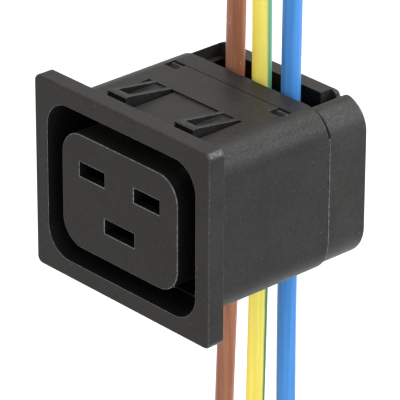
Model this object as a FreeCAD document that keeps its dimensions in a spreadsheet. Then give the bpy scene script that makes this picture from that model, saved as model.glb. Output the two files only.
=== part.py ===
import FreeCAD, Part
import math
import os
import Sketcher

# Panel outlet of the C19 pattern with through-wiring, in millimetres.
# Seen from the front, +X is to the right, +Z is up and +Y points into the cabinet.
# The origin is the centre of the flange's back face, which lies on the panel.

Vector = FreeCAD.Vector
doc = FreeCAD.newDocument("panel_outlet")

# ---------------------------------------------------------------- driving dimensions
dimensions = {
    # flange and sleeve
    "flange_width": 41.4,
    "flange_height": 33.7,
    "flange_thickness": 3.1,
    "flange_corner": 1.2,
    "flange_edge": 0.4,
    "body_width": 36.7,
    "body_height": 28.6,
    "body_corner": 5.2,
    "body_depth": 24.9,
    "channel_width": 34.3,
    "channel_height": 26.4,
    "channel_corner": 4.5,
    "opening_width": 35.2,
    "opening_height": 27.3,
    "opening_corner": 4.95,
    "opening_depth": 2.4,
    "seat_step": 0.25,
    "seam_chamfer": 0.12,
    "seam_width": 0.55,
    "seam_depth": 0.24,
    # snap latches on the sleeve
    "latch_centre": 7.92,
    "latch_width": 4.4,
    "latch_slot_width": 6.1,
    "latch_front": 3.25,
    "latch_hinge": 12.8,
    "latch_gap": 0.45,
    "latch_height": 15.65,
    "latch_rim": 0.85,
    "latch_nose": 1.45,
    "recess_depth": 0.3,
    # windows for the carrier's teeth
    "window_centre": 12.3,
    "window_width": 2.9,
    "window_front": 18.4,
    "window_length": 2.2,
    "groove_width": 0.14,
    "groove_depth": 0.1,
    # contact carrier
    "island_width": 27.4,
    "island_height": 20.1,
    "island_corner": 4.5,
    "island_proud": 0.25,
    "island_edge": 0.2,
    "face_wall": 1.75,
    "pole_offset": 6.5,
    "pole_rise": 4.0,
    "pole_slot_width": 6.1,
    "pole_slot_height": 2.6,
    "earth_slot_width": 7.15,
    "pole_chamber_width": 7.0,
    "earth_chamber_width": 8.0,
    "chamber_height": 5.6,
    "base_front": 16.0,
    "base_thickness": 2.0,
    "base_play": 0.05,
    "skirt_end": 21.2,
    "skirt_wall": 1.5,
    "tooth_height": 0.7,
    # contacts and their clips
    "leaf_thickness": 0.6,
    "leaf_opening": 1.5,
    "leaf_pinch": 0.9,
    "leaf_tip": 2.2,
    "pinch_depth": 5.2,
    "leaf_bend": 10.4,
    "web_front": 17.4,
    "pole_leaf_width": 5.6,
    "earth_leaf_width": 6.6,
    "blade_thickness": 0.8,
    "blade_width": 5.4,
    "blade_end": 29.5,
    "blade_slot": 1.7,
    "blade_mouth": 3.0,
    "clip_thickness": 0.3,
    "clip_front": 11.2,
    "clip_length": 4.8,
    "clip_gap": 1.8,
    # wires
    "wire_depth": 27.35,
    "wire_offset": 6.6,
    "insulation_diameter": 3.2,
    "conductor_diameter": 2.0,
    # wire guide
    "guide_plate": 1.6,
    "guide_width": 24.0,
    "bridge_low": 8.0,
    "bridge_high": 12.2,
    "bridge_root": 11.2,
    "bridge_end": 27.7,
    "notch_width": 3.76,
    # rear cover
    "cover_end": 33.2,
    "cover_top": 13.9,
    "cover_bottom": 14.3,
    "cover_lower_corner": 6.0,
    "back_wall": 3.1,
    "passage_right": 12.7,
    "passage_left": 14.0,
    "shelf_left": 15.2,
    "shelf_height": 11.2,
    "tab_half_width": 10.7,
    "tab_notch": 12.3,
    "ear_start": 14.9,
    "tab_notch_depth": 1.05,
    "tab_pocket_width": 2.0,
    "tab_pocket_depth": 2.2,
    "tab_pocket_height": 3.2,
    "left_pocket_height": 5.2,
    "cover_edge": 0.4,
    "rib_width": 2.4,
    "tongue_thickness": 1.3,
    "tongue_height": 8.0,
    "tongue_reach": 3.5,
}

size = doc.addObject("Spreadsheet::Sheet", "size")
for row, (alias, length) in enumerate(dimensions.items(), start=1):
    size.set(f"A{row}", alias)
    size.set(f"B{row}", str(length))
    size.setAlias(f"B{row}", alias)
doc.recompute()


# ---------------------------------------------------------------- sketch and feature helpers
def new_body(label):
    body = doc.addObject("PartDesign::Body", label)
    body.Label = label
    return body


def new_sketch(body, role, name, offset=None):
    """A sketch on one of the body's own origin planes, shifted along the plane's normal."""
    plane = next(item for item in body.Origin.OriginFeatures if item.Role == role)
    sketch = body.newObject("Sketcher::SketchObject", name)
    sketch.AttachmentSupport = [(plane, "")]
    sketch.MapMode = "FlatFace"
    if offset is not None:
        sketch.setExpression("AttachmentOffset.Base.z", offset)
    return sketch


def section(body, name, depth="0"):
    """A sketch across the body's depth: X to the right, Z up, at the given Y."""
    return new_sketch(body, "XZ_Plane", name, f"-({depth})")


def bind(sketch, kind, edge, expression):
    """Hold the start point of an edge at a signed distance from the sketch's origin."""
    distance = float(sketch.evalExpression(expression))
    if abs(distance) < 1e-9:
        axis = -2 if kind == "DistanceX" else -1
        sketch.addConstraint(Sketcher.Constraint("PointOnObject", edge, 1, axis))
        return
    index = sketch.addConstraint(Sketcher.Constraint(kind, -1, 1, edge, 1, distance))
    sketch.setExpression(f"Constraints[{index}]", expression)


def polygon(sketch, corners):
    """A closed outline of straight lines, each corner held by two expressions."""
    points = [Vector(float(sketch.evalExpression(a)), float(sketch.evalExpression(b)), 0) for a, b in corners]
    first = sketch.GeometryCount
    count = len(points)
    for index in range(count):
        sketch.addGeometry(Part.LineSegment(points[index], points[(index + 1) % count]))
    for index in range(count):
        following = first + (index + 1) % count
        sketch.addConstraint(Sketcher.Constraint("Coincident", first + index, 2, following, 1))
    for index, (across, up) in enumerate(corners):
        bind(sketch, "DistanceX", first + index, across)
        bind(sketch, "DistanceY", first + index, up)


def rectangle(sketch, left, right, bottom, top):
    polygon(sketch, [(left, bottom), (right, bottom), (right, top), (left, top)])


def rounded_rectangle(sketch, left, right, bottom, top, radii):
    """Four lines joined by tangent arcs; radii run from the lower right corner anticlockwise."""
    x0, x1, z0, z1 = [float(sketch.evalExpression(side)) for side in (left, right, bottom, top)]
    turns = [float(sketch.evalExpression(radius)) for radius in radii]
    centres = [
        (x1 - turns[0], z0 + turns[0]),
        (x1 - turns[1], z1 - turns[1]),
        (x0 + turns[2], z1 - turns[2]),
        (x0 + turns[3], z0 + turns[3]),
    ]
    first = sketch.GeometryCount
    quarter = math.pi / 2
    for index, (turn, (across, up)) in enumerate(zip(turns, centres)):
        circle = Part.Circle(Vector(across, up, 0), Vector(0, 0, 1), turn)
        sketch.addGeometry(Part.ArcOfCircle(circle, (index - 1) * quarter, index * quarter))
    for index in range(4):
        start = sketch.getPoint(first + index, 2)
        end = sketch.getPoint(first + (index + 1) % 4, 1)
        sketch.addGeometry(Part.LineSegment(start, end))
    for index in range(4):
        line = first + 4 + index
        following = first + (index + 1) % 4
        sketch.addConstraint(Sketcher.Constraint("Tangent", first + index, 2, line, 1))
        sketch.addConstraint(Sketcher.Constraint("Tangent", line, 2, following, 1))
        kind = "Vertical" if index % 2 == 0 else "Horizontal"
        sketch.addConstraint(Sketcher.Constraint(kind, line))
    for index, radius in enumerate(radii):
        held = sketch.addConstraint(Sketcher.Constraint("Radius", first + index, turns[index]))
        sketch.setExpression(f"Constraints[{held}]", radius)
    bind(sketch, "DistanceX", first + 4, right)
    bind(sketch, "DistanceY", first + 5, top)
    bind(sketch, "DistanceX", first + 6, left)
    bind(sketch, "DistanceY", first + 7, bottom)


def centred_round(sketch, width, height, radius):
    half_width = f"({width}) / 2"
    half_height = f"({height}) / 2"
    rounded_rectangle(sketch, f"-{half_width}", half_width, f"-{half_height}", half_height, [radius] * 4)


pockets = []


def extrude(body, kind, sketch, length, flip=False, both_ways=False):
    """Pad or pocket of a sketch; flip sends it the other way along the sketch's normal."""
    feature = body.newObject(f"PartDesign::{kind}", sketch.Name + "_" + kind.lower())
    feature.Profile = sketch
    feature.Reversed = flip
    feature.Midplane = both_ways
    feature.setExpression("Length", length)
    sketch.Visibility = False
    if kind == "Pocket":
        pockets.append(feature)
    return feature


def pad_back(body, sketch, length):
    """Sections face -Y, so material that grows towards +Y is a reversed pad."""
    return extrude(body, "Pad", sketch, length, flip=True)


def cut_back(body, sketch, length):
    return extrude(body, "Pocket", sketch, length)


def dress(body, kind, edge_test, amount, name):
    """Fillet or chamfer of every edge of the body that passes the test."""
    doc.recompute()
    base = body.Tip
    edges = [f"Edge{n}" for n, edge in enumerate(base.Shape.Edges, start=1) if edge_test(edge)]
    feature = body.newObject(f"PartDesign::{kind}", name)
    feature.Base = (base, edges)
    feature.setExpression("Radius" if kind == "Fillet" else "Size", amount)
    return feature


def lies_at(edge, axis, level):
    """True where the whole edge lies in the plane axis = level."""
    box = edge.BoundBox
    low, high = {"x": (box.XMin, box.XMax), "y": (box.YMin, box.YMax), "z": (box.ZMin, box.ZMax)}[axis]
    return abs(low - level) < 1e-4 and abs(high - level) < 1e-4


def reach(edge):
    """Largest distances of an edge from the middle, across and up."""
    box = edge.BoundBox
    return max(abs(box.XMin), abs(box.XMax)), max(abs(box.ZMin), abs(box.ZMax))


sides = (-1, 1)
front = -size.flange_thickness

# ---------------------------------------------------------------- front housing
# One moulding: the flange, the sleeve behind it, four snap latches and four windows.
housing = new_body("front_housing")
sketch = section(housing, "flange_outline")
centred_round(sketch, "size.flange_width", "size.flange_height", "size.flange_corner")
extrude(housing, "Pad", sketch, "size.flange_thickness")
sketch = section(housing, "sleeve_outline")
centred_round(sketch, "size.body_width", "size.body_height", "size.body_corner")
pad_back(housing, sketch, "size.body_depth")
sketch = section(housing, "channel", "-size.flange_thickness")
centred_round(sketch, "size.channel_width", "size.channel_height", "size.channel_corner")
cut_back(housing, sketch, "size.flange_thickness + size.body_depth")
bore_width = "(size.channel_width + 2 * size.seat_step)"
bore_height = "(size.channel_height + 2 * size.seat_step)"
bore_corner = "(size.channel_corner + size.seat_step)"
sketch = section(housing, "rear_bore", "size.base_front")
centred_round(sketch, bore_width, bore_height, bore_corner)
cut_back(housing, sketch, "size.body_depth - size.base_front")

# the mouth of the channel opens with a slight draft
sketch = section(housing, "opening", "-size.flange_thickness")
centred_round(sketch, "size.opening_width", "size.opening_height", "size.opening_corner")
mouth = cut_back(housing, sketch, "size.opening_depth")
mouth.setExpression("TaperAngle", "-atan((size.opening_width - size.channel_width) / 2 / size.opening_depth)")
dress(housing, "Fillet", lambda e: lies_at(e, "y", front) and reach(e)[0] > size.opening_width / 2 + 1,
      "size.flange_edge", "flange_round")
body_reach = size.channel_width / 2 + 0.5
dress(housing, "Chamfer",
      lambda e: lies_at(e, "y", size.body_depth) and (reach(e)[0] > body_reach or reach(e)[1] > 14),
      "size.seam_chamfer", "seam_edge")
# shallow rebate round the end of the sleeve, which shows as the parting line
sketch = section(housing, "seam_rebate", "size.body_depth - size.seam_depth")
centred_round(sketch, "size.body_width + 1", "size.body_height + 1", "size.body_corner + 0.5")
centred_round(sketch, "size.body_width - 2 * size.seam_width", "size.body_height - 2 * size.seam_width",
              "size.body_corner - size.seam_width")
cut_back(housing, sketch, "size.seam_depth")

half_height = "size.body_height / 2"
slot_front = "size.latch_front - size.latch_gap"
for up in sides:
    level = f"{up} * {half_height}"
    name = "top" if up > 0 else "bottom"
    # shallow step in the wall between the latches
    sketch = new_sketch(housing, "XY_Plane", f"{name}_recess", f"{up} * ({half_height} - size.recess_depth)")
    edge = "size.latch_centre - size.latch_slot_width / 2"
    rectangle(sketch, f"-({edge})", edge, "0", "size.latch_hinge")
    extrude(housing, "Pocket", sketch, "size.recess_depth + 1", flip=up > 0)
    for side in sides:
        tag = f"{name}_{'left' if side < 0 else 'right'}"
        centre = f"{side} * size.latch_centre"
        half_slot = "size.latch_slot_width / 2"
        half_latch = "size.latch_width / 2"
        # U-shaped slot that frees the tongue on three sides
        sketch = new_sketch(housing, "XY_Plane", f"{tag}_slot", f"{up} * ({half_height} - 2.5)")
        polygon(sketch, [
            (f"{centre} - {half_slot}", slot_front),
            (f"{centre} + {half_slot}", slot_front),
            (f"{centre} + {half_slot}", "size.latch_hinge"),
            (f"{centre} + {half_latch}", "size.latch_hinge"),
            (f"{centre} + {half_latch}", "size.latch_front"),
            (f"{centre} - {half_latch}", "size.latch_front"),
            (f"{centre} - {half_latch}", "size.latch_hinge"),
            (f"{centre} - {half_slot}", "size.latch_hinge"),
        ])
        extrude(housing, "Pocket", sketch, "4", flip=up > 0)
        # wedge that rises from the hinge to the catch face
        sketch = new_sketch(housing, "YZ_Plane", f"{tag}_wedge", centre)
        polygon(sketch, [
            ("size.latch_front", f"{up} * ({half_height} - 0.5)"),
            ("size.latch_hinge", f"{up} * ({half_height} - 0.5)"),
            ("size.latch_hinge", level),
            ("size.latch_front + 0.4", f"{up} * size.latch_height"),
            ("size.latch_front", f"{up} * (size.latch_height - 0.15)"),
        ])
        extrude(housing, "Pad", sketch, "size.latch_width", both_ways=True)
        # pocket in the wedge, which leaves a rim on both sides and a nose in front
        sketch = new_sketch(housing, "XY_Plane", f"{tag}_pocket", f"{up} * ({half_height} - size.recess_depth)")
        inner = "(size.latch_width / 2 - size.latch_rim)"
        rectangle(sketch, f"{centre} - {inner}", f"{centre} + {inner}",
                  "size.latch_front + size.latch_nose", "size.latch_hinge")
        extrude(housing, "Pocket", sketch, "3", flip=up > 0)
        # window for a carrier tooth
        sketch = new_sketch(housing, "XY_Plane", f"{tag}_window", f"{up} * ({half_height} - 2.5)")
        middle = f"{side} * size.window_centre"
        rectangle(sketch, f"{middle} - size.window_width / 2", f"{middle} + size.window_width / 2",
                  "size.window_front", "size.window_front + size.window_length")
        extrude(housing, "Pocket", sketch, "4", flip=up > 0)
    # fine witness groove joining the two windows
    sketch = new_sketch(housing, "XY_Plane", f"{name}_groove", f"{up} * ({half_height} - size.groove_depth)")
    groove_end = "size.window_centre + size.window_width / 2"
    groove_start = "size.window_front + size.window_length"
    rectangle(sketch, f"-({groove_end})", groove_end, groove_start, f"{groove_start} + size.groove_width")
    extrude(housing, "Pocket", sketch, "1", flip=up > 0)

# ---------------------------------------------------------------- contact carrier
# The island of the socket face with its three chambers, on a base that snaps into the sleeve
# and sits on the step where the sleeve's bore widens.
carrier = new_body("contact_carrier")
face_level = "-(size.flange_thickness + size.island_proud)"
base_width = f"({bore_width} - 2 * size.base_play)"
base_height = f"({bore_height} - 2 * size.base_play)"
base_corner = f"({bore_corner} - size.base_play)"
base_end = "size.base_front + size.base_thickness"
sketch = section(carrier, "island", face_level)
centred_round(sketch, "size.island_width", "size.island_height", "size.island_corner")
pad_back(carrier, sketch, f"size.base_front - {face_level}")
sketch = section(carrier, "base", "size.base_front")
centred_round(sketch, base_width, base_height, base_corner)
pad_back(carrier, sketch, "size.skirt_end - size.base_front")
sketch = section(carrier, "skirt_inside", base_end)
centred_round(sketch, f"{base_width} - 2 * size.skirt_wall", f"{base_height} - 2 * size.skirt_wall",
              f"{base_corner} - size.skirt_wall")
cut_back(carrier, sketch, f"size.skirt_end - ({base_end})")

poles = {
    "live": ("-size.pole_offset", "size.pole_rise", "size.pole_slot_width", "size.pole_chamber_width"),
    "neutral": ("size.pole_offset", "size.pole_rise", "size.pole_slot_width", "size.pole_chamber_width"),
    "earth": ("0", "-size.pole_rise", "size.earth_slot_width", "size.earth_chamber_width"),
}
for pole, (across, up, slot_width, chamber_width) in poles.items():
    sketch = section(carrier, f"{pole}_slot", face_level)
    rectangle(sketch, f"{across} - {slot_width} / 2", f"{across} + {slot_width} / 2",
              f"{up} - size.pole_slot_height / 2", f"{up} + size.pole_slot_height / 2")
    cut_back(carrier, sketch, "size.face_wall + 1")
    sketch = section(carrier, f"{pole}_chamber", f"{face_level} + size.face_wall")
    rectangle(sketch, f"{across} - {chamber_width} / 2", f"{across} + {chamber_width} / 2",
              f"{up} - size.chamber_height / 2", f"{up} + size.chamber_height / 2")
    cut_back(carrier, sketch, f"{base_end} - ({face_level}) - size.face_wall")

island_front = front - size.island_proud
island_reach = size.island_width / 2
dress(carrier, "Fillet",
      lambda e: lies_at(e, "y", island_front) and (reach(e)[0] > island_reach - 3 or reach(e)[1] > 9),
      "size.island_edge", "island_round")

for up in sides:
    for side in sides:
        tag = f"{'top' if up > 0 else 'bottom'}_{'left' if side < 0 else 'right'}"
        sketch = new_sketch(carrier, "YZ_Plane", f"{tag}_tooth", f"{side} * size.window_centre")
        root = f"{up} * ({base_height} / 2 - 0.6)"
        low = f"{up} * ({base_height} / 2 - 0.2)"
        high = f"{up} * ({base_height} / 2 + size.tooth_height)"
        polygon(sketch, [
            ("size.window_front + 0.6", root),
            ("size.window_front + 2.1", root),
            ("size.window_front + 2.1", high),
            ("size.window_front + 1.7", high),
            ("size.window_front + 0.6", low),
        ])
        extrude(carrier, "Pad", sketch, "size.window_width - 0.3", both_ways=True)

# ---------------------------------------------------------------- contacts
# One stamped and folded strip each: two spring leaves for the pin and a forked blade for the wire.
contact_bodies = {}
wire_places = {"live": "-size.wire_offset", "neutral": "size.wire_offset", "earth": "0"}
leaf_widths = {"live": "size.pole_leaf_width", "neutral": "size.pole_leaf_width",
               "earth": "size.earth_leaf_width"}
for pole, (across, up, slot_width, chamber_width) in poles.items():
    contact = new_body(f"{pole}_contact")
    contact_bodies[pole] = contact
    sketch = new_sketch(contact, "YZ_Plane", f"{pole}_leaves", across)
    web_back = "size.web_front + size.leaf_thickness"
    upper = [("size.leaf_tip", "size.leaf_opening"), ("size.pinch_depth", "size.leaf_pinch"),
             ("size.leaf_bend", "size.leaf_opening"), ("size.web_front", "size.leaf_opening")]
    inner_path = upper + [(depth, f"-{height}") for depth, height in reversed(upper)]
    lower_outer = [(depth, f"-{height} - size.leaf_thickness") for depth, height in upper[:3]]
    outer_path = lower_outer + [(web_back, "-size.leaf_opening - size.leaf_thickness"),
                                (web_back, "size.leaf_opening + size.leaf_thickness")]
    outer_path += [(depth, f"{height} + size.leaf_thickness") for depth, height in reversed(upper[:3])]
    polygon(sketch, [(depth, f"{up} + {height}") for depth, height in inner_path + outer_path])
    extrude(contact, "Pad", sketch, leaf_widths[pole], both_ways=True)
    # the fold between the leaves is as wide as the chamber and holds the contact in it
    sketch = section(contact, f"{pole}_fold", "size.web_front")
    rectangle(sketch, f"{across} - {chamber_width} / 2", f"{across} + {chamber_width} / 2",
              f"{up} - size.leaf_opening - size.leaf_thickness", f"{up} + size.leaf_opening + size.leaf_thickness")
    pad_back(contact, sketch, "size.leaf_thickness")
    # forked blade that displaces the insulation and grips the conductor
    sketch = new_sketch(contact, "XY_Plane", f"{pole}_blade", up)
    place = wire_places[pole]
    half_blade = "size.blade_width / 2"
    half_slot = "size.blade_slot / 2"
    slot_floor = "size.wire_depth - size.conductor_diameter / 2 - 0.2"
    polygon(sketch, [
        (f"{place} - {half_blade}", "size.web_front + 0.1"),
        (f"{place} + {half_blade}", "size.web_front + 0.1"),
        (f"{place} + {half_blade}", "size.blade_end - 0.5"),
        (f"{place} + size.blade_mouth / 2 + 0.3", "size.blade_end"),
        (f"{place} + size.blade_mouth / 2", "size.blade_end"),
        (f"{place} + {half_slot}", "size.blade_end - 0.9"),
        (f"{place} + {half_slot}", slot_floor),
        (f"{place} - {half_slot}", slot_floor),
        (f"{place} - {half_slot}", "size.blade_end - 0.9"),
        (f"{place} - size.blade_mouth / 2", "size.blade_end"),
        (f"{place} - size.blade_mouth / 2 - 0.3", "size.blade_end"),
        (f"{place} - {half_blade}", "size.blade_end - 0.5"),
    ])
    extrude(contact, "Pad", sketch, "size.blade_thickness", both_ways=True)

# Spring-steel clip around each pair of leaves, open on its left side.
for pole, (across, up, slot_width, chamber_width) in poles.items():
    clip = new_body(f"{pole}_contact_clip")
    sketch = section(clip, f"{pole}_clip_outline", "size.clip_front")
    half_width = f"{leaf_widths[pole]} / 2"
    half_height = "(size.leaf_opening + size.leaf_thickness)"
    wall = "size.clip_thickness"
    gap = "size.clip_gap / 2"
    polygon(sketch, [
        (f"{across} - {half_width} - {wall}", f"{up} + {gap}"),
        (f"{across} - {half_width} - {wall}", f"{up} + {half_height} + {wall}"),
        (f"{across} + {half_width} + {wall}", f"{up} + {half_height} + {wall}"),
        (f"{across} + {half_width} + {wall}", f"{up} - {half_height} - {wall}"),
        (f"{across} - {half_width} - {wall}", f"{up} - {half_height} - {wall}"),
        (f"{across} - {half_width} - {wall}", f"{up} - {gap}"),
        (f"{across} - {half_width}", f"{up} - {gap}"),
        (f"{across} - {half_width}", f"{up} - {half_height}"),
        (f"{across} + {half_width}", f"{up} - {half_height}"),
        (f"{across} + {half_width}", f"{up} + {half_height}"),
        (f"{across} - {half_width}", f"{up} + {half_height}"),
        (f"{across} - {half_width}", f"{up} + {gap}"),
    ])
    pad_back(clip, sketch, "size.clip_length")

# ---------------------------------------------------------------- wire guide
# Plate that closes the chambers, with two notched bridges that hold the wires in line.
guide = new_body("wire_guide")
plate_end = f"({base_end} + size.guide_plate)"
sketch = section(guide, "plate", base_end)
play = "(size.skirt_wall + size.base_play)"
centred_round(sketch, f"{base_width} - 2 * {play}", f"{base_height} - 2 * {play}", f"{base_corner} - {play}")
pad_back(guide, sketch, "size.guide_plate")
for up in sides:
    # each bridge has a root inside the skirt and widens behind it
    name = "upper" if up > 0 else "lower"
    steps = [("root", plate_end, "size.bridge_root"), ("bridge", "(size.skirt_end + 0.1)", "size.bridge_high")]
    for step, start, height in steps:
        sketch = section(guide, f"{name}_{step}", start)
        rectangle(sketch, "-size.guide_width / 2", "size.guide_width / 2",
                  f"{up} * size.bridge_low", f"{up} * {height}")
        pad_back(guide, sketch, f"size.bridge_end - {start}")
for pole, place in wire_places.items():
    # notch for the wire, open to the back
    sketch = new_sketch(guide, "XY_Plane", f"{pole}_notch", "-size.bridge_high - 1")
    notch_floor = "size.wire_depth - size.notch_width / 2"
    flank = "size.notch_width / 2"
    bevel = "size.notch_width / 4"
    polygon(sketch, [
        (f"{place} - {bevel}", notch_floor),
        (f"{place} + {bevel}", notch_floor),
        (f"{place} + {flank}", f"{notch_floor} + {bevel}"),
        (f"{place} + {flank}", "size.bridge_end + 1"),
        (f"{place} - {flank}", "size.bridge_end + 1"),
        (f"{place} - {flank}", f"{notch_floor} + {bevel}"),
    ])
    extrude(guide, "Pocket", sketch, "2 * size.bridge_high + 2", flip=True)
    # slit in the plate for the blade
    sketch = section(guide, f"{pole}_slit", base_end)
    up = poles[pole][1]
    rectangle(sketch, f"{place} - size.blade_width / 2 - 0.1", f"{place} + size.blade_width / 2 + 0.1",
              f"{up} - size.blade_thickness / 2 - 0.1", f"{up} + size.blade_thickness / 2 + 0.1")
    cut_back(guide, sketch, "size.guide_plate")
# hooked lugs that the cover's tongues snap behind
tongue_outer = f"({bore_width} / 2 - size.base_play)"
tongue_inner = f"({tongue_outer} - size.tongue_thickness)"
for side in sides:
    sketch = new_sketch(guide, "XY_Plane", "left_lug" if side < 0 else "right_lug")
    polygon(sketch, [
        (f"{side} * (size.guide_width / 2 - 0.5)", f"{plate_end} - 0.2"),
        (f"{side} * ({tongue_inner} - 0.8)", f"{plate_end} - 0.2"),
        (f"{side} * ({tongue_inner} - 0.8)", "size.body_depth - 2.3"),
        (f"{side} * ({tongue_inner} - 0.1)", "size.body_depth - 2.3"),
        (f"{side} * ({tongue_inner} - 0.1)", "size.body_depth - 1.3"),
        (f"{side} * ({tongue_inner} - 0.8)", "size.body_depth - 0.3"),
        (f"{side} * (size.guide_width / 2 - 0.5)", "size.body_depth - 0.3"),
    ])
    extrude(guide, "Pad", sketch, "size.tongue_height", both_ways=True)

# ---------------------------------------------------------------- rear cover
# U-shaped moulding that presses the wires onto the blades: back wall, two side walls and ribs.
cover = new_body("rear_cover")
inner_back = "size.cover_end - size.back_wall"
sketch = section(cover, "cover_outline", "size.body_depth")
rounded_rectangle(sketch, "-size.body_width / 2", "size.body_width / 2", "-size.cover_bottom", "size.cover_top",
                  ["size.cover_lower_corner", "size.body_corner", "size.body_corner", "size.cover_lower_corner"])
pad_back(cover, sketch, "size.cover_end - size.body_depth")
dress(cover, "Fillet", lambda e: lies_at(e, "y", size.cover_end), "size.cover_edge", "rear_round")
dress(cover, "Chamfer", lambda e: lies_at(e, "y", size.body_depth), "size.seam_chamfer", "cover_seam_edge")
sketch = new_sketch(cover, "XY_Plane", "passage", "-size.cover_bottom - 1")
rectangle(sketch, "-size.passage_left", "size.passage_right", "size.body_depth", inner_back)
extrude(cover, "Pocket", sketch, "2 * size.cover_bottom + 2", flip=True)
for up in sides:
    level, top = ("upper", "size.cover_top") if up > 0 else ("lower", "size.cover_bottom")
    # on the left the passage widens above a shelf, and reaches back to a thin rim beside the tab
    sketch = new_sketch(cover, "XY_Plane", f"{level}_shelf", f"{up} * size.shelf_height")
    rectangle(sketch, "-size.shelf_left", "-size.passage_left + 0.1", "size.body_depth",
              f"{inner_back} + size.tab_pocket_depth")
    extrude(cover, "Pocket", sketch, "5", flip=up > 0)
    sketch = new_sketch(cover, "XY_Plane", f"{level}_left_pocket", f"{up} * ({top} - size.left_pocket_height)")
    rectangle(sketch, "-size.passage_left", "-size.tab_half_width", inner_back, f"{inner_back} + size.tab_pocket_depth")
    extrude(cover, "Pocket", sketch, "7", flip=up > 0)
    # on the right a rounded notch parts the back wall's tab from the side wall
    sketch = section(cover, f"{level}_notch", "size.body_depth")
    outline = [
        ("size.tab_half_width", "+ 1"),
        ("size.tab_half_width", "+ 0"),
        ("size.tab_half_width + 0.4", "- 0.06"),
        ("size.tab_half_width + 0.8", "- 0.24"),
        ("size.tab_half_width + 1.15", "- 0.52"),
        ("size.tab_notch - 0.35", "- size.tab_notch_depth + 0.12"),
        ("size.tab_notch - 0.1", "- size.tab_notch_depth"),
        ("size.tab_notch + 0.2", "- size.tab_notch_depth"),
        ("size.tab_notch + 0.5", "- 0.72"),
        ("size.tab_notch + 0.85", "- 0.42"),
        ("size.tab_notch + 1.3", "- 0.28"),
        ("size.ear_start - 0.9", "- 0.24"),
        ("size.ear_start", "- 0.26"),
        ("size.ear_start", "+ 1"),
    ]
    polygon(sketch, [(across, f"{up} * ({top} {rise})") for across, rise in outline])
    cut_back(cover, sketch, "size.cover_end - size.body_depth")
    # pocket at the tab's right end, open to the passage, with a thin wall behind it
    sketch = new_sketch(cover, "XY_Plane", f"{level}_right_pocket", f"{up} * ({top} - size.tab_pocket_height)")
    rectangle(sketch, "size.tab_half_width", "size.tab_half_width + size.tab_pocket_width", inner_back,
              f"{inner_back} + size.tab_pocket_depth")
    extrude(cover, "Pocket", sketch, "5", flip=up > 0)

# ribs that bear on each wire, broken where the blade passes
rib_front = "size.wire_depth + size.insulation_diameter / 2"
for pole, place in wire_places.items():
    blade_level = poles[pole][1]
    spans = [("-size.bridge_high + 1.4", f"{blade_level} - 1"), (f"{blade_level} + 1", "size.bridge_high - 1.4")]
    for count, (low, high) in enumerate(spans):
        sketch = section(cover, f"{pole}_rib_{'lower' if count == 0 else 'upper'}", rib_front)
        rectangle(sketch, f"{place} - size.rib_width / 2", f"{place} + size.rib_width / 2", low, high)
        pad_back(cover, sketch, f"{inner_back} - ({rib_front}) + 0.1")
# snap tongues that enter the sleeve
for side in sides:
    sketch = new_sketch(cover, "XY_Plane", "left_tongue" if side < 0 else "right_tongue")
    polygon(sketch, [
        (f"{side} * {tongue_outer}", "size.body_depth + 0.5"),
        (f"{side} * {tongue_outer}", "size.body_depth - size.tongue_reach"),
        (f"{side} * {tongue_inner}", "size.body_depth - size.tongue_reach"),
        (f"{side} * ({tongue_inner} - 0.6)", "size.body_depth - size.tongue_reach + 0.6"),
        (f"{side} * ({tongue_inner} - 0.6)", "size.body_depth - 2.4"),
        (f"{side} * {tongue_inner}", "size.body_depth - 2.4"),
        (f"{side} * {tongue_inner}", "size.body_depth + 0.5"),
    ])
    extrude(cover, "Pad", sketch, "size.tongue_height - 0.6", both_ways=True)

doc.recompute()


# ---------------------------------------------------------------- wires
# Three insulated wires run straight through from above to below, each with a slight lean.
def rounded_route(points):
    """Straight runs joined by tangent arcs, each as large as its two runs allow."""
    edges = []
    last = points[0]
    for before, corner, after in zip(points, points[1:], points[2:]):
        inward = (corner - before).normalize()
        outward = (after - corner).normalize()
        turn = inward.getAngle(outward)
        setback = 0.45 * min((corner - before).Length, (after - corner).Length)
        radius = setback / math.tan(turn / 2)
        print("wire arc radius", round(radius, 1))
        start = corner - inward * setback
        end = corner + outward * setback
        bisector = (outward - inward).normalize()
        sagitta = radius / math.cos(turn / 2) - radius
        edges.append(Part.LineSegment(last, start).toShape())
        edges.append(Part.Arc(start, corner + bisector * sagitta, end).toShape())
        last = end
    edges.append(Part.LineSegment(last, points[-1]).toShape())
    return Part.Wire(edges)


def swept_rod(route, diameter):
    start = route.Edges[0]
    circle = Part.Circle(start.valueAt(start.FirstParameter), start.tangentAt(start.FirstParameter), diameter / 2)
    rod = route.makePipeShell([Part.Wire(circle.toShape())], True, False)
    expected = math.pi * diameter ** 2 / 4 * route.Length
    print("wire volume over section times length", round(rod.Volume / expected, 5))
    return rod


wire_heights = (38.0, 19.0, 3.0, -12.0, -27.0, -42.0, -57.0)
wire_leans = {
    "live": (-5.93, -6.27, -6.52, -6.79, -7.52, -8.16, -8.68),
    "earth": (-0.22, -0.10, -0.02, -0.10, -0.36, -0.69, -1.08),
    "neutral": (6.86, 6.70, 6.62, 6.57, 6.50, 6.60, 6.86),
}
wire_names = {"live": "brown_wire", "earth": "green_yellow_wire", "neutral": "blue_wire"}


def add_solid(label, shape):
    feature = doc.addObject("Part::Feature", label)
    feature.Label = label
    feature.Shape = shape
    feature.Placement = FreeCAD.Placement()
    return feature


wire_solids = []
for pole, leans in wire_leans.items():
    points = [Vector(across, size.wire_depth, height) for across, height in zip(leans, wire_heights)]
    route = rounded_route(points)
    bitten = contact_bodies[pole].Shape
    core = swept_rod(route, size.conductor_diameter)
    sheath = swept_rod(route, size.insulation_diameter).cut(core).cut(bitten)
    wire_solids.append(add_solid(f"{wire_names[pole]}_insulation", sheath))
    wire_solids.append(add_solid(f"{wire_names[pole]}_conductor", core.cut(bitten)))

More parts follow.
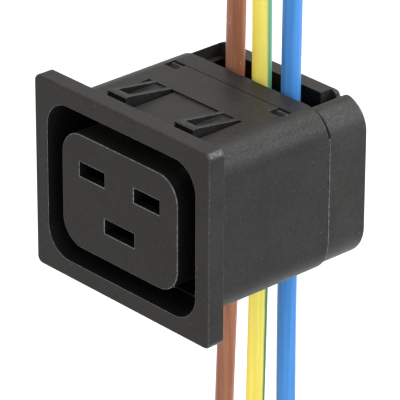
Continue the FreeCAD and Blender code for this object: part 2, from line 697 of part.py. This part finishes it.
# ---------------------------------------------------------------- checks and files
doc.recompute()
for item in doc.Objects:
    if "Invalid" in item.State or "Error" in item.State:
        raise RuntimeError(f"{item.Name} did not recompute")
for pocket in pockets:
    if pocket.Shape.Volume > pocket.BaseFeature.Shape.Volume - 1e-3:
        raise RuntimeError(f"{pocket.Name} cuts nothing")

sub_parts = [item for item in doc.Objects if item.isDerivedFrom("PartDesign::Body")] + wire_solids
os.makedirs("parts", exist_ok=True)
for item in sub_parts:
    shape = item.Shape
    if shape.isNull() or not shape.isValid() or not shape.Solids:
        raise RuntimeError(f"{item.Label} has no valid solid")
    shape.exportStep(f"parts/{item.Label}.step")
    print(item.Label, "solids", len(shape.Solids), "volume", round(shape.Volume, 2))
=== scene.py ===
import math

import bmesh
import bpy
from mathutils import Matrix, Vector


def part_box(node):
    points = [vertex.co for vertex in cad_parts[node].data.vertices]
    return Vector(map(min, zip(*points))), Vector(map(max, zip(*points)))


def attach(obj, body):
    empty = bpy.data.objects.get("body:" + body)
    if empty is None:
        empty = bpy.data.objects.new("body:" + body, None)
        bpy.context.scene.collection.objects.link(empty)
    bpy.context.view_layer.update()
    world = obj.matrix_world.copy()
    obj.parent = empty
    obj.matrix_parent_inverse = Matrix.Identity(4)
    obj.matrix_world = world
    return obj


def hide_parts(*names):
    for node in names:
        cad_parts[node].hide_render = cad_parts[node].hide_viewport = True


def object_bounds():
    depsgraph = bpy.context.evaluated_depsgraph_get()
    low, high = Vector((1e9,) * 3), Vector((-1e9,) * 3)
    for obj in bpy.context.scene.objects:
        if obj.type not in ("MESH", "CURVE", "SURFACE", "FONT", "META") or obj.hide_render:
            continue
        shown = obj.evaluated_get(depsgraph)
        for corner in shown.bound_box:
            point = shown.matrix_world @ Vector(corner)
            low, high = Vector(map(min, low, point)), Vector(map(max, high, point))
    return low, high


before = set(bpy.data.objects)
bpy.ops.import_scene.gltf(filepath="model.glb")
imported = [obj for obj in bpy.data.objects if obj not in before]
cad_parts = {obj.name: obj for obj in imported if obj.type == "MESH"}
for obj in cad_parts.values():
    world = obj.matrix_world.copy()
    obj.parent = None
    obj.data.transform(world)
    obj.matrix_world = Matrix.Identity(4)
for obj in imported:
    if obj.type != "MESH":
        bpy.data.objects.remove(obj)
solid_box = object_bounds()
scene = bpy.context.scene
scene.view_settings.view_transform = "Standard"

# Camera. It stands about 0.57 m away, above and to the right of the socket face, with a long lens
# that keeps the part's parallel edges almost parallel, and it leans by a fifth of a degree.
backward = Vector((0.6619, -0.6050, 0.4426)).normalized()
heading = math.radians(47.565)
lean = 0.003665
level_right = Vector((math.cos(heading), math.sin(heading), 0))
level_up = backward.cross(level_right).normalized()
right = level_right * math.cos(lean) + level_up * math.sin(lean)
up = level_up * math.cos(lean) - level_right * math.sin(lean)
attitude = Matrix((right, up, backward)).transposed().to_4x4()
camera = bpy.data.objects.new("camera", bpy.data.cameras.new("camera"))
camera.matrix_world = Matrix.Translation((0.3866, -0.3395, 0.2548)) @ attitude
camera.data.sensor_width = 36
camera.data.lens = 327.2
camera.data.clip_start = 0.01
scene.collection.objects.link(camera)
scene.camera = camera


# Wires. Each is a solid copper conductor in extruded PVC: brown is live, green and yellow
# is earth, blue is neutral. All three run straight through the housing and end in a square cut.
class Signal:
    """A shader socket; arithmetic on it adds Math nodes."""

    def __init__(self, socket):
        self.socket = socket

    def joined(self, operation, *terms):
        node = self.socket.id_data.nodes.new("ShaderNodeMath")
        node.operation = operation
        for entry, term in zip(node.inputs, terms):
            supply(entry, term)
        return Signal(node.outputs[0])

    def __add__(self, other):
        return self.joined("ADD", self, other)

    def __radd__(self, other):
        return self.joined("ADD", other, self)

    def __sub__(self, other):
        return self.joined("SUBTRACT", self, other)

    def __rsub__(self, other):
        return self.joined("SUBTRACT", other, self)

    def __mul__(self, other):
        return self.joined("MULTIPLY", self, other)

    def __rmul__(self, other):
        return self.joined("MULTIPLY", other, self)

    def __abs__(self):
        return self.joined("ABSOLUTE", self)


def supply(entry, value):
    """Links a signal to a node's input, or writes a plain value there."""
    if isinstance(value, Signal):
        entry.id_data.links.new(value.socket, entry)
    else:
        entry.default_value = value


class Nodes:
    """A node tree, and the method that adds any node but those of a signal's arithmetic."""

    def __init__(self, tree):
        self.tree = tree

    def add(self, kind, settings=None, inputs=None, output=0):
        """One output of a new node, whose settings are made before its inputs are filled."""
        node = self.tree.nodes.new(kind)
        for key, value in (settings or {}).items():
            setattr(node, key, value)
        for key, value in (inputs or {}).items():
            supply(node.inputs[key], value)
        return Signal(node.outputs[output])


class Finish(Nodes):
    """A material with one Principled shader and the nodes that feed it."""

    def __init__(self, name, constants):
        self.material = bpy.data.materials.new(name)
        self.material.use_nodes = True
        super().__init__(self.material.node_tree)
        self.shader = self.tree.nodes["Principled BSDF"]
        for socket, value in constants.items():
            self.shader.inputs[socket].default_value = value

    def place(self, stretch=(1, 1, 1), shift=(0, 0, 0)):
        """Object coordinates, stretched and shifted."""
        coordinates = self.add("ShaderNodeTexCoord", output="Object")
        inputs = {"Vector": coordinates, "Scale": stretch, "Location": shift}
        return self.add("ShaderNodeMapping", inputs=inputs)

    def noise(self, place, scale, detail, roughness=0.5):
        inputs = {"Vector": place, "Scale": scale, "Detail": detail, "Roughness": roughness}
        return self.add("ShaderNodeTexNoise", inputs=inputs)

    def step(self, signal, low, high):
        """0 below low, 1 above high, smooth between."""
        inputs = {"Value": signal, "From Min": low, "From Max": high}
        return self.add("ShaderNodeMapRange", {"interpolation_type": "SMOOTHSTEP"}, inputs)

    def blend(self, factor, first, second):
        """Mix of two colours, each a tuple or a signal; a Mix node's colour sockets go by number."""
        inputs = {0: factor, 6: first, 7: second}
        return self.add("ShaderNodeMix", {"data_type": "RGBA"}, inputs, output=2)

    def feed(self, socket, signal):
        supply(self.shader.inputs[socket], signal)

    def relief(self, height, distance, strength):
        inputs = {"Strength": strength, "Distance": distance, "Height": height}
        self.feed("Normal", self.add("ShaderNodeBump", inputs=inputs))


def finished(form, name):
    """The object made from a bmesh, which is freed."""
    mesh = bpy.data.meshes.new(name)
    form.to_mesh(mesh)
    form.free()
    piece = bpy.data.objects.new(name, mesh)
    scene.collection.objects.link(piece)
    return piece


wire_depth = 0.02735
wire_heights = (0.038, 0.019, 0.003, -0.012, -0.027, -0.042, -0.057)
wire_radius = 0.0016
conductor_radius = 0.001
wires = {
    "brown_wire": {
        "across": (-0.00593, -0.00627, -0.00652, -0.00679, -0.00752, -0.00816, -0.00868),
        "colour": (0.38, 0.163, 0.101, 1),
        "shade": (0.25, 0.092, 0.05, 1),
    },
    "green_yellow_wire": {
        "across": (-0.00022, -0.00010, -0.00002, -0.00010, -0.00036, -0.00069, -0.00108),
        "colour": (1.0, 0.82, 0.16, 1),
        "shade": (0.92, 0.7, 0.11, 1),
        # The stripe's colour is its upper end, painted paler as light, and its shade is its lower end,
        # painted darker as shade.
        "stripe": {
            "centre": 0.592,
            "half_width": 0.115,
            "twist": 0.006,
            "colour": (0.13, 0.37, 0.21, 1),
            "shade": (0.012, 0.14, 0.04, 1),
        },
    },
    "blue_wire": {
        "across": (0.00686, 0.00670, 0.00662, 0.00657, 0.00650, 0.00660, 0.00686),
        "colour": (0.072, 0.24, 0.56, 1),
        "shade": (0.04, 0.165, 0.43, 1),
    },
}


def centreline(name, points):
    """The wire's smooth line, as a plain list of points."""
    curve = bpy.data.curves.new(name + "_line", "CURVE")
    curve.dimensions = "3D"
    spline = curve.splines.new("NURBS")
    spline.points.add(len(points) - 1)
    for knot, point in zip(spline.points, points):
        knot.co = (*point, 1)
    spline.order_u = 3
    spline.use_endpoint_u = True
    spline.resolution_u = 12
    line = bpy.data.objects.new(name + "_line", curve)
    scene.collection.objects.link(line)
    bpy.context.view_layer.update()
    traced = bpy.data.meshes.new_from_object(line)
    path = [vertex.co.copy() for vertex in traced.vertices]
    bpy.data.objects.remove(line)
    return path


def insulation(name, path):
    """A tube down the path, with rounded rims. The conductor fills its bore, which stops 1 mm inside.

    Its UV map has U once round the wire and V along it.
    """
    rim = 0.00006
    bore_depth = 0.001
    length_per_v = 0.01
    top, bottom = path[0], path[-1]
    # each ring of the rim: how far it is from the wire's end, and its radius
    rounding = (
        (0, conductor_radius),
        (0, wire_radius - 2 * rim),
        (rim * 0.3, wire_radius - rim * 0.7),
        (rim, wire_radius),
    )
    rings = [(top - Vector((0, 0, drop)), radius) for drop, radius in rounding]
    rings += [(centre, wire_radius) for centre in path[1:-1]]
    rings += [(bottom + Vector((0, 0, rise)), radius) for rise, radius in reversed(rounding)]
    rings += [(bottom + Vector((0, 0, bore_depth)), conductor_radius)]

    tube = bmesh.new()
    start = bmesh.ops.create_circle(tube, cap_ends=False, segments=64, radius=conductor_radius)["verts"]
    last_centre, last_radius = top - Vector((0, 0, bore_depth)), conductor_radius
    bmesh.ops.translate(tube, verts=start, vec=last_centre)
    edges = list(tube.edges)
    for centre, radius in rings:
        made = bmesh.ops.extrude_edge_only(tube, edges=edges)["geom"]
        moved = [item for item in made if isinstance(item, bmesh.types.BMVert)]
        edges = [item for item in made if isinstance(item, bmesh.types.BMEdge)]
        ratio = radius / last_radius
        bmesh.ops.translate(tube, verts=moved, vec=-last_centre)
        bmesh.ops.scale(tube, verts=moved, vec=(ratio, ratio, 1))
        bmesh.ops.translate(tube, verts=moved, vec=centre)
        last_centre, last_radius = centre, radius
    bmesh.ops.recalc_face_normals(tube, faces=tube.faces)

    wrap = tube.loops.layers.uv.new("wrap")
    for face in tube.faces:
        face.smooth = True
        middle = face.calc_center_median()
        for loop in face.loops:
            corner = loop.vert.co
            centre = min(path, key=lambda point: abs(point.z - corner.z))
            turn = math.atan2(corner.y - centre.y, corner.x - centre.x) / math.tau
            around = math.atan2(middle.y - centre.y, middle.x - centre.x) / math.tau
            if turn - around > 0.5:
                turn -= 1
            if around - turn > 0.5:
                turn += 1
            loop[wrap].uv = (turn + 0.5, corner.z / length_per_v)
    return finished(tube, name)


def extruded_vinyl(name, colour, shade, stripe=None):
    """Satin PVC with fine drawing lines along the wire and faint handling marks."""
    handled = (0.8, 0.8, 0.78, 1)
    finish = Finish(name, {"IOR": 1.52, "Specular IOR Level": 0.16})
    place = finish.place()
    streaks = finish.step(finish.noise(finish.place(stretch=(1, 1, 0.02)), 1500, 2), 0.36, 0.64)
    patches = finish.noise(place, 260, 3) * 0.35 + streaks * 0.65
    lines = finish.noise(finish.place(stretch=(1, 1, 0.03)), 2600, 3)
    scuffs = finish.step(finish.noise(finish.place(stretch=(1, 1, 0.25)), 1500, 4, 0.65), 0.66, 0.74)
    body = finish.blend(patches, colour, shade)
    if stripe is not None:
        body = striped(finish, body, stripe)
    finish.feed("Base Color", finish.blend(scuffs * 0.25, body, handled))
    finish.feed("Roughness", 0.34 + patches * 0.1 + scuffs * 0.15)
    finish.relief(lines * 0.6 + finish.noise(place, 5200, 2) * 0.4, 0.00002, 0.45)
    return finish.material


def striped(finish, body, stripe):
    """The body colour with one soft-edged stripe along the wire; its green is painted paler towards the top
    as light and darker towards the bottom as shade.
    """
    inner_blur, outer_blur = 0.04, 0.015
    wrap = finish.add("ShaderNodeUVMap", {"uv_map": "wrap"})
    around = finish.add("ShaderNodeSeparateXYZ", inputs={"Vector": wrap}, output="X")
    along = finish.add("ShaderNodeSeparateXYZ", inputs={"Vector": wrap}, output="Y")
    wobble = (finish.noise(finish.place(stretch=(0, 0, 1)), 160, 2) - 0.5) * 0.02
    offset = abs(around - stripe["centre"] + wobble + along * stripe["twist"])
    inside = 1 - finish.step(offset, stripe["half_width"] - inner_blur, stripe["half_width"] + outer_blur)
    green = finish.blend(finish.step(along, -2.0, 3.0), stripe["shade"], stripe["colour"])
    return finish.blend(inside, body, green)


for name, wire in wires.items():
    points = [Vector((across, wire_depth, height)) for across, height in zip(wire["across"], wire_heights)]
    path = centreline(name, points)
    tube = insulation(name, path)
    vinyl = extruded_vinyl(name + "_vinyl", wire["colour"], wire["shade"], wire.get("stripe"))
    tube.data.materials.append(vinyl)
    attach(tube, "root")
    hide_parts(name + "_insulation")


# Conductors. Solid drawn copper wire, cut square with the insulation. Only the ends show, so the
# solids stay as they are and get a finish.
def refinish(node, material):
    """Gives a solid's own mesh this material."""
    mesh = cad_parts[node].data
    mesh.materials.clear()
    mesh.materials.append(material)


copper = Finish("drawn_copper", {"Metallic": 1.0})
grain = copper.noise(copper.place(stretch=(1, 1, 0.05)), 4200, 3)
stain = copper.noise(copper.place(), 900, 3)
copper.feed("Base Color", copper.blend(stain, (0.78, 0.36, 0.2, 1), (0.62, 0.25, 0.13, 1)))
copper.feed("Roughness", 0.22 + grain * 0.2)
copper.relief(grain, 0.00001, 0.5)
for name in wires:
    refinish(name + "_conductor", copper.material)


# Front housing. One injection moulding in glass-filled black polyamide: flange, sleeve, four snap
# latches and four windows. The tool is lightly spark-eroded and leaves its edges barely rounded.
def rubbing_and_highlight_share(face):
    """How far a face stands out to be rubbed and painted with highlight: a narrow strip does, a broad curve
    less, a wall not. On the broad rounded corners the pale mark is mostly painted highlight.
    """
    narrow = 0.0002
    turned = min(1, 6 * (1 - max(abs(part) for part in face.normal)))
    breadth = face.calc_area() / max(edge.calc_length() for edge in face.edges)
    return (0.8 if breadth < narrow else 0.14) * turned


def rounded_copy(node, name, width, wear_and_highlight, painted_shade=None, seam=None):
    """A copy of a solid's mesh with its sharp edges rounded; its faces are marked for the finish.

    The first function gives how much an edge near a point is rubbed and painted with highlight, the second
    how much painted shade darkens a face. Faces are cut along the plane y = seam, so that the strip in front
    of it can have its own marks.
    """
    flat, sharp, creased = math.radians(0.5), math.radians(32), math.radians(50)
    merge_distance = 2e-7
    form = bmesh.new()
    form.from_mesh(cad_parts[node].data)
    bmesh.ops.remove_doubles(form, verts=form.verts, dist=merge_distance)
    bmesh.ops.dissolve_limit(form, angle_limit=flat, verts=form.verts, edges=form.edges)
    edges = [edge for edge in form.edges
             if len(edge.link_faces) == 2 and edge.calc_face_angle(0) > sharp]
    bevelled = bmesh.ops.bevel(form, geom=edges, offset=width, offset_type="OFFSET", segments=2, profile=0.5,
                               affect="EDGES", clamp_overlap=True, material=-1, loop_slide=True)
    rounds = set(bevelled["faces"])
    if seam is not None:
        whole = list(form.verts) + list(form.edges) + list(form.faces)
        bmesh.ops.bisect_plane(form, geom=whole, dist=merge_distance / 2,
                               plane_co=(0, seam, 0), plane_no=(0, 1, 0))
    wear_and_highlight_mark = form.loops.layers.float.new("wear_and_highlight")
    painted_shade_mark = form.loops.layers.float.new("painted_shade")
    for face in form.faces:
        face.smooth = True
        middle = face.calc_center_median()
        rubbed_and_highlit = wear_and_highlight(middle) * (1 if face in rounds else rubbing_and_highlight_share(face))
        # smooth is the face's share of painted shade.
        smooth = float(painted_shade(middle, face.normal)) if painted_shade else 0
        for loop in face.loops:
            loop[wear_and_highlight_mark] = rubbed_and_highlit * (1 - smooth)
            loop[painted_shade_mark] = smooth
    piece = finished(form, name)
    piece.data.set_sharp_from_angle(angle=creased)
    weighted = piece.modifiers.new("even_normals", "WEIGHTED_NORMAL")
    weighted.keep_sharp = True
    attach(piece, "root")
    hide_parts(node)
    return piece


def moulded_polyamide(name, shift, tone=1.0):
    """Black glass-filled nylon with spark-eroded grain, cloudy gloss and pale specks.

    Edges marked as rubbed are rubbed grey, partly as wear and partly as painted highlight, and walls marked
    for painted shade are painted near black and even, as shade in hollows.
    """
    dark = (0.0134 * tone, 0.0119 * tone, 0.0104 * tone, 1)
    light = (0.0218 * tone, 0.0203 * tone, 0.0188 * tone, 1)
    glass = (0.3, 0.29, 0.27, 1)
    rubbed_and_highlit = (0.42, 0.42, 0.4, 1)
    # Near-black colour painted as shade on walls in hollows.
    shade_black = (0.0030, 0.0028, 0.0026, 1)
    finish = Finish(name, {"IOR": 1.5, "Specular IOR Level": 0.13})
    # The first attribute is edge wear together with painted highlight on edges and rounded corners.
    wear_and_highlight = finish.add("ShaderNodeAttribute", {"attribute_name": "wear_and_highlight"}, output="Fac")
    # smooth is the painted shade, which turns walls in hollows near black.
    smooth = finish.add("ShaderNodeAttribute", {"attribute_name": "painted_shade"}, output="Fac")
    place = finish.place(shift=shift)
    cloud = finish.noise(place, 150, 4, 0.62)
    grain = finish.noise(place, 4200, 3, 0.6)
    coarse = finish.noise(place, 1300, 3, 0.6)
    specks = finish.step(finish.noise(place, 2700, 2) + wear_and_highlight * 0.12, 0.69, 0.79)
    chips = finish.step(finish.noise(place, 2300, 3, 0.6), 0.46, 0.6)
    body = finish.blend(finish.step(cloud * 0.4 + coarse * 0.3 + grain * 0.3, 0.38, 0.62), dark, light)
    body = finish.blend(specks * 0.3, body, glass)
    body = finish.blend(wear_and_highlight * (0.26 + chips * 0.34), body, rubbed_and_highlit)
    finish.feed("Base Color", finish.blend(smooth, body, shade_black))
    finish.feed("Roughness", 0.38 + cloud * 0.14 + specks * 0.1 + smooth * 0.2)
    finish.relief(grain * 0.6 + coarse * 0.4, 0.00008, 0.4)
    return finish.material


# Places on the housing: depths from the panel's face, half widths and half heights from the axis.
# Each lies a little to one side of the real edge, so that every face is clearly in or out.
flange_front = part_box("front_housing")[0].y
sleeve_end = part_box("front_housing")[1].y
sleeve_half_width, sleeve_half_height = 0.01835, 0.0143
cavity_half_width, cavity_half_height = 0.0179, 0.0139
mouth_half_width, mouth_half_height, mouth_corner = 0.01785, 0.0138, 0.0047
groove_walls, groove_rims, groove_half_width = (0.02059, 0.02075), (0.0205, 0.0208), 0.0138
rebate_depth, rebate_inset = 0.00027, 0.0004
latch_start, latch_hinge, latches_half_width = 0.0025, 0.0131, 0.0115
surface_margin = 0.0001


def hollow_painted_shade(point, normal):
    """How much painted shade darkens a wall: all of it in a hollow, and some on a latch's sides.

    The hollows are the cavity, the rebate round the sleeve's end, the groove between the windows, and
    the gaps round the latches.
    """
    across, height = abs(point.x), abs(point.z)
    behind_front = point.y > flange_front + 0.00005
    in_cavity = behind_front and across < cavity_half_width and height < cavity_half_height
    faces_in = normal.x * point.x + normal.z * point.z < -0.003
    inset = min(sleeve_half_width - across, sleeve_half_height - height)
    in_rebate = point.y > sleeve_end - rebate_depth and inset > rebate_inset
    below_surface = height < sleeve_half_height - surface_margin
    on_groove = groove_walls[0] < point.y < groove_walls[1] and across < groove_half_width
    in_groove = on_groove and height > sleeve_half_height - 2 * surface_margin
    in_latches = latch_start < point.y < latch_hinge and across < latches_half_width
    latch_side = in_latches and abs(normal.z) < 0.5
    in_gap = latch_side and (below_surface or point.z < 0 and normal.y < -0.8)
    if in_cavity and faces_in or in_rebate or in_groove or in_gap:
        return 1
    return 0.35 if latch_side else 0


def housing_wear_and_highlight(point):
    """How rubbed and painted with highlight the housing's edges are: the mouth's right side most, as a
    painted highlight, the cavity not at all.
    """
    mouth_right, flange_right = 0.0165, 0.0195
    past_width = max(abs(point.x) - (mouth_half_width - mouth_corner), 0)
    past_height = max(abs(point.z) - (mouth_half_height - mouth_corner), 0)
    in_mouth = math.hypot(past_width, past_height) < mouth_corner
    if point.y < flange_front + 0.0005:
        if in_mouth:
            return 2.2 if point.x > mouth_right else 1.0
        return 0.22 if point.x > flange_right else 0.08
    if in_mouth or groove_rims[0] < point.y < groove_rims[1] and abs(point.x) < groove_half_width:
        return 0
    on_flange = point.y < 0.0003
    on_sleeve_end = point.y > sleeve_end - 0.0004
    on_latch = abs(point.z) > sleeve_half_height + surface_margin
    return 0.9 if on_sleeve_end or on_latch and not on_flange else 0.6


housing = rounded_copy("front_housing", "front_housing_moulding", 0.00012, housing_wear_and_highlight, hollow_painted_shade)
housing.data.materials.append(moulded_polyamide("housing_polyamide", (0, 0, 0)))


# Contact carrier. The island with its three slots and the base behind it, one moulding in the same
# black polyamide, its inner walls painted near black as shade. Four teeth on the base snap into the sleeve's
# windows.
tooth_foot = 0.0136
slots_top = 0.006


def carrier_painted_shade(point, normal):
    """How much painted shade darkens the carrier's walls: none on its grained front, some on its upper wall
    and teeth, all of it elsewhere.
    """
    if point.y < flange_front - 0.00002:
        return 0
    if abs(point.z) > tooth_foot:
        return 0.6
    return 0.5 if normal.z > 0.7 and point.z > slots_top else 1


def carrier_wear_and_highlight(point):
    """How rubbed and painted with highlight the carrier's edges are: only the island's rim and slots, and
    the teeth, whose strong pale mark is a painted glint.
    """
    if point.y < flange_front:
        return 0.9
    return 2.0 if abs(point.z) > tooth_foot else 0


carrier = rounded_copy("contact_carrier", "contact_carrier_moulding", 0.0001, carrier_wear_and_highlight, carrier_painted_shade)
carrier.data.materials.append(moulded_polyamide("carrier_polyamide", (0.1, 0.05, 0.02), 0.85))

# Wire guide. A black moulded plate inside the carrier's skirt. It closes the contacts' chambers,
# and its two notched bridges hold the wires in line over the blades.
guide = rounded_copy("wire_guide", "wire_guide_moulding", 0.0001, lambda point: 0.3)
guide.data.materials.append(moulded_polyamide("guide_polyamide", (0.2, 0.11, 0.07), 0.6))

# Rear cover. A black moulded cover that presses the wires onto the blades and snaps behind the
# guide's lugs. The strip along its parting line is marked apart from the rest of its walls.
cover_seam = 0.0252
passage_end, passage_half_width = 0.0303, 0.0143
gap_foot, gap_left, strip_top = 0.0098, 0.0133, 0.0105


def cover_painted_shade(point, normal):
    """True where painted shade darkens the cover: on the passage's walls, the face that meets the sleeve,
    and the gap at its upper right.
    """
    upright = abs(normal.z) < 0.5
    in_passage = upright and cover_seam < point.y < passage_end and abs(point.x) < passage_half_width
    meets_sleeve = point.y < sleeve_end + 0.00005 and normal.y < -0.9
    in_gap = point.y < cover_seam and point.z > gap_foot and point.x > gap_left
    return in_passage or meets_sleeve or in_gap


def cover_wear_and_highlight(point):
    """How rubbed and painted with highlight the cover's edges are: the strip along the parting line most,
    save at its top.
    """
    if point.y > cover_seam:
        return 0.7
    return 0.2 if point.z > strip_top else 0.8


cover = rounded_copy("rear_cover", "rear_cover_moulding", 0.0002, cover_wear_and_highlight, cover_painted_shade, cover_seam)
cover.data.materials.append(moulded_polyamide("cover_polyamide", (0.3, 0.02, 0.13), 1.25))

# Contacts. Brass strip, stamped and folded into two spring leaves and a forked blade, with sheared
# edges. Each sits in its own chamber of the carrier.
brass = Finish("stamped_brass", {"Metallic": 1.0})
rolled = brass.noise(brass.place(stretch=(1, 0.04, 1)), 3800, 3)
tarnish = brass.noise(brass.place(), 700, 3)
brass.feed("Base Color", brass.blend(tarnish, (0.72, 0.53, 0.24, 1), (0.5, 0.34, 0.13, 1)))
brass.feed("Roughness", 0.22 + rolled * 0.18 + tarnish * 0.1)
brass.relief(rolled, 0.00001, 0.5)
poles = ("live", "neutral", "earth")
for pole in poles:
    contact = rounded_copy(f"{pole}_contact", f"{pole}_contact_strip", 0.00005, lambda point: 0)
    contact.data.materials.append(brass.material)

# Contact clips. Bands of brushed spring steel, folded round the contacts' leaves to keep their
# grip. They are hidden in the chambers, so the solids only get a finish.
steel = Finish("spring_steel", {"Metallic": 1.0})
brushed = steel.noise(steel.place(stretch=(1, 0.05, 1)), 4500, 3)
steel.feed("Base Color", steel.blend(brushed, (0.5, 0.51, 0.53, 1), (0.36, 0.37, 0.39, 1)))
steel.feed("Roughness", 0.28 + brushed * 0.2)
steel.relief(brushed, 0.00001, 0.5)
for pole in poles:
    refinish(f"{pole}_contact_clip", steel.material)

# Floor and surroundings. A sheet of white paper lies just under the wires' lower ends, in a white
# room. Both show as white, also in reflections, and the paper keeps the part's shadow.
paper_half_width = 3
paper_drop = 0.0005
paper_form = bmesh.new()
bmesh.ops.create_grid(paper_form, x_segments=1, y_segments=1, size=paper_half_width)
bmesh.ops.translate(paper_form, verts=paper_form.verts, vec=(0, 0, solid_box[0].z - paper_drop))
floor = finished(paper_form, "floor")
paper_shade, glow = (0.6, 0.6, 0.6, 1), (1, 1, 1, 1)
paper = Finish("white_paper", {"Base Color": paper_shade, "Roughness": 0.9, "Emission Color": glow})
viewed, mirrored, through = [paper.add("ShaderNodeLightPath", output=f"Is {kind} Ray")
                             for kind in ("Camera", "Glossy", "Transmission")]
bounced = paper.add("ShaderNodeMath", {"operation": "MAXIMUM"}, {0: mirrored, 1: through})
shown = paper.add("ShaderNodeMath", {"operation": "MAXIMUM"}, {0: viewed, 1: bounced})
paper.feed("Emission Strength", shown * 0.35)
floor.data.materials.append(paper.material)

room_strength = 1.05
world = bpy.data.worlds.new("studio")
scene.world = world
world.use_nodes = True
room = Nodes(world.node_tree)
background = room.tree.nodes["Background"]
background.inputs["Color"].default_value = (1, 1, 1, 1)
in_view = room.add("ShaderNodeLightPath", output="Is Camera Ray")
supply(background.inputs["Strength"], room_strength - in_view * (room_strength - 1))

# Lamps. The main softbox hangs above and behind the part, a cool one lights its right side, a
# small one its round rear corner, and a weak warm one fills the socket face.
lamps = {
    "key_above": {"from": (0.05, 0.32, 0.62), "size": 0.42, "power": 3.0, "colour": (1.0, 0.995, 0.98)},
    "side_right": {"from": (0.60, -0.06, 0.18), "size": 0.45, "power": 2.1, "colour": (0.62, 0.86, 1.0)},
    "corner_strip": {"from": (0.37, 0.38, 0.29), "size": 0.22, "power": 1.25, "colour": (0.9, 0.97, 1.0)},
    "front_fill": {"from": (-0.10, -0.70, 0.10), "size": 0.5, "power": 0.65, "colour": (1.0, 0.80, 0.62)},
}
target = Vector((0, 0.015, 0))
for name, lamp in lamps.items():
    light = bpy.data.lights.new(name, "AREA")
    light.shape = "SQUARE"
    light.size = lamp["size"]
    light.energy = lamp["power"]
    light.color = lamp["colour"]
    stand = bpy.data.objects.new(name, light)
    aim = (Vector(lamp["from"]) - target).to_track_quat("Z", "Y")
    stand.matrix_world = Matrix.Translation(lamp["from"]) @ aim.to_matrix().to_4x4()
    scene.collection.objects.link(stand)
